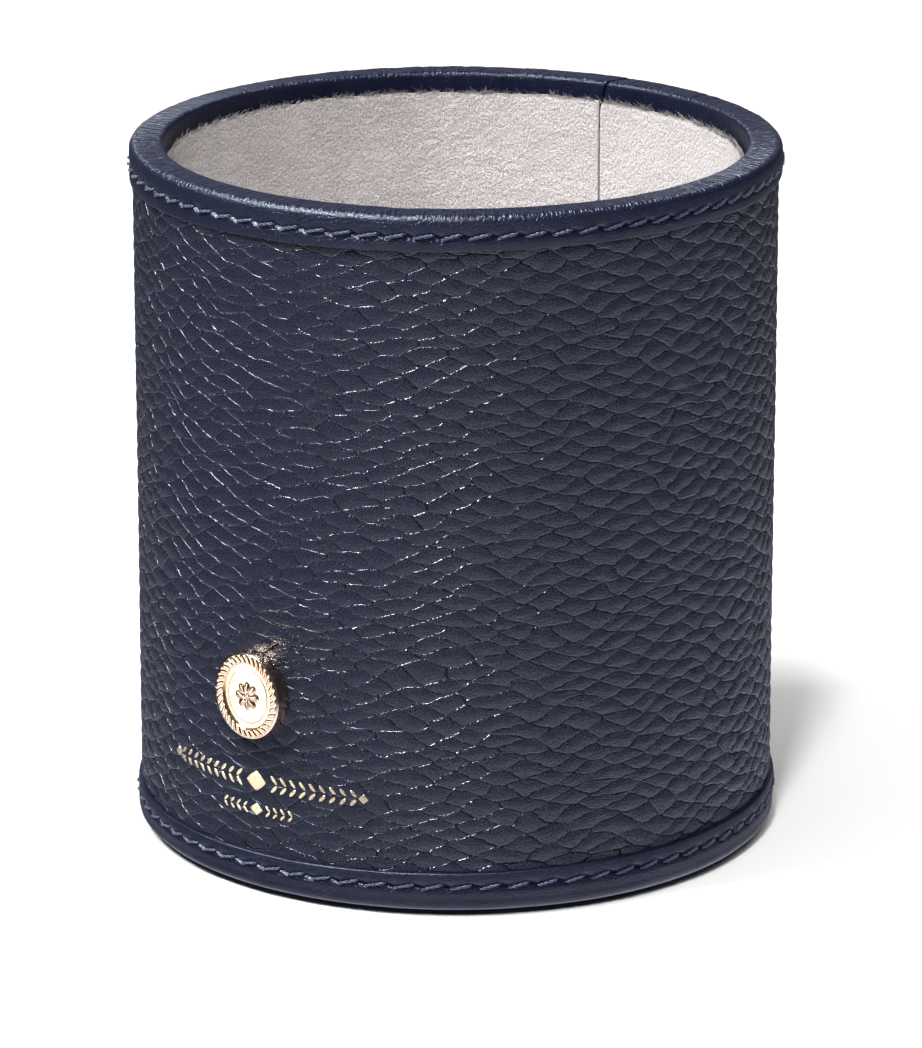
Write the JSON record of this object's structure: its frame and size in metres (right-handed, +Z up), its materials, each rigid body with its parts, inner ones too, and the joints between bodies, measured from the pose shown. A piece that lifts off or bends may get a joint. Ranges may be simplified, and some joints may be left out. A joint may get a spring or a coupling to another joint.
{
  "type": "pen holder cup",
  "caption": "Round leather-covered pen pot: stiff tube wall, stitched bindings over the rim and under the base, suede lining, small metal plaque.",
  "frame": {"origin": "centre of the base, on the surface the pot stands on", "axes": "+Z up along the pot's axis, -Y towards the front that carries the plaque, +X to the right seen from the front"},
  "size_m": [0.0926, 0.0941, 0.1],
  "materials": {
    "grain_leather": "pebble grain, semi-matt, navy",
    "smooth_leather": "smooth fine grain, satin, navy",
    "thread": "twisted polyester thread, navy",
    "suede": "napped suede, pale warm grey",
    "base_suede": "napped suede, dark navy",
    "board": "pressed grey board",
    "gold_plate": "polished, pale gold plating",
    "steel_plate": "plain sheet"
  },
  "bodies": {
    "root": {"leather_wrap": "grain_leather", "top_binding": "smooth_leather", "bottom_binding": "smooth_leather", "top_stitching": "thread", "bottom_stitching": "thread", "wall_lining": "suede", "floor_lining": "suede", "badge": "gold_plate", "badge_backing": "steel_plate", "core_tube": "board", "base_board": "board", "infill_card": "board", "floor_card": "board", "base_infill": "board", "base_cover": "base_suede"}
  },
  "joints": []
}
